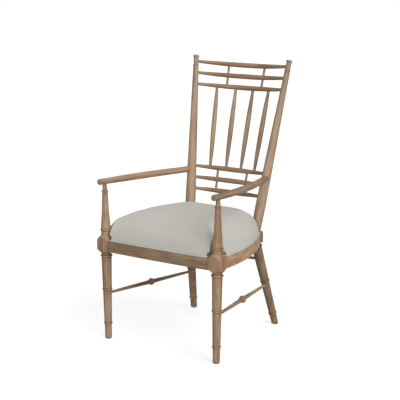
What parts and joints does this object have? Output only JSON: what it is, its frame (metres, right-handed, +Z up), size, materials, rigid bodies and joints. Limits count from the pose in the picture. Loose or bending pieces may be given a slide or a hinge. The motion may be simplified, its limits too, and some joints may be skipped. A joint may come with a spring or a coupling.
{
  "type": "wooden armchair",
  "caption": "High-backed turned armchair with a bent spindle back, round open arms, a bowed seat frame and a tight domed upholstered seat bound with a welt.",
  "frame": {"origin": "on the floor, in the middle of the chair's width and depth", "axes": "+Z up; the sitter faces -Y; +X is the sitter's left"},
  "size_m": [0.591, 0.6913, 1.1251],
  "materials": {
    "turned_oak": "limed and waxed oak, grain along the post, darker in the turned grooves",
    "arm_oak": "limed and waxed oak, grain along the arm",
    "rail_oak": "limed and waxed oak, grain along the rail",
    "stretcher_oak": "limed and waxed oak, grain along the stretcher",
    "bent_oak": "limed and waxed bent oak, grain along the bar",
    "stick_oak": "limed and waxed oak, grain along the stick",
    "plain_beech": "sawn beech, unfinished",
    "plywood": "birch plywood, unfinished",
    "zinc_screw": "yellow zinc",
    "foam": "polyurethane foam",
    "linen": "plain woven pale greige linen blend, matt",
    "welt_linen": "bias-cut linen over cord, matt",
    "dust_cloth": "black cambric",
    "glide_plastic": "dark nylon"
  },
  "bodies": {
    "root": {"front_post_left": "turned_oak", "front_post_right": "turned_oak", "rear_post_left": "turned_oak", "rear_post_right": "turned_oak", "front_rail": "rail_oak", "rear_rail": "rail_oak", "side_rail_left": "rail_oak", "side_rail_right": "rail_oak", "corner_block_front_left": "plain_beech", "corner_block_front_right": "plain_beech", "corner_block_rear_left": "plain_beech", "corner_block_rear_right": "plain_beech", "corner_block_screws": "zinc_screw", "seat_screws": "zinc_screw", "arm_left": "arm_oak", "arm_right": "arm_oak", "side_stretcher_left": "stretcher_oak", "side_stretcher_right": "stretcher_oak", "rear_stretcher": "stretcher_oak", "crest_bar_upper": "bent_oak", "crest_bar_middle": "bent_oak", "crest_bar_lower": "bent_oak", "lumbar_bar_upper": "bent_oak", "lumbar_bar_middle": "bent_oak", "lumbar_bar_lower": "bent_oak", "spindle_outer_left": "stick_oak", "spindle_inner_left": "stick_oak", "spindle_inner_right": "stick_oak", "spindle_outer_right": "stick_oak", "crest_strut_upper_left": "stick_oak", "crest_strut_upper_right": "stick_oak", "crest_strut_lower_left": "stick_oak", "crest_strut_lower_right": "stick_oak", "lumbar_strut_upper_left": "stick_oak", "lumbar_strut_upper_right": "stick_oak", "lumbar_strut_lower_left": "stick_oak", "lumbar_strut_lower_right": "stick_oak", "seat_board": "plywood", "seat_foam": "foam", "seat_cover": "linen", "seat_welt": "welt_linen", "dust_cover": "dust_cloth", "glide_front_left": "glide_plastic", "glide_front_right": "glide_plastic", "glide_rear_left": "glide_plastic", "glide_rear_right": "glide_plastic"}
  },
  "joints": []
}
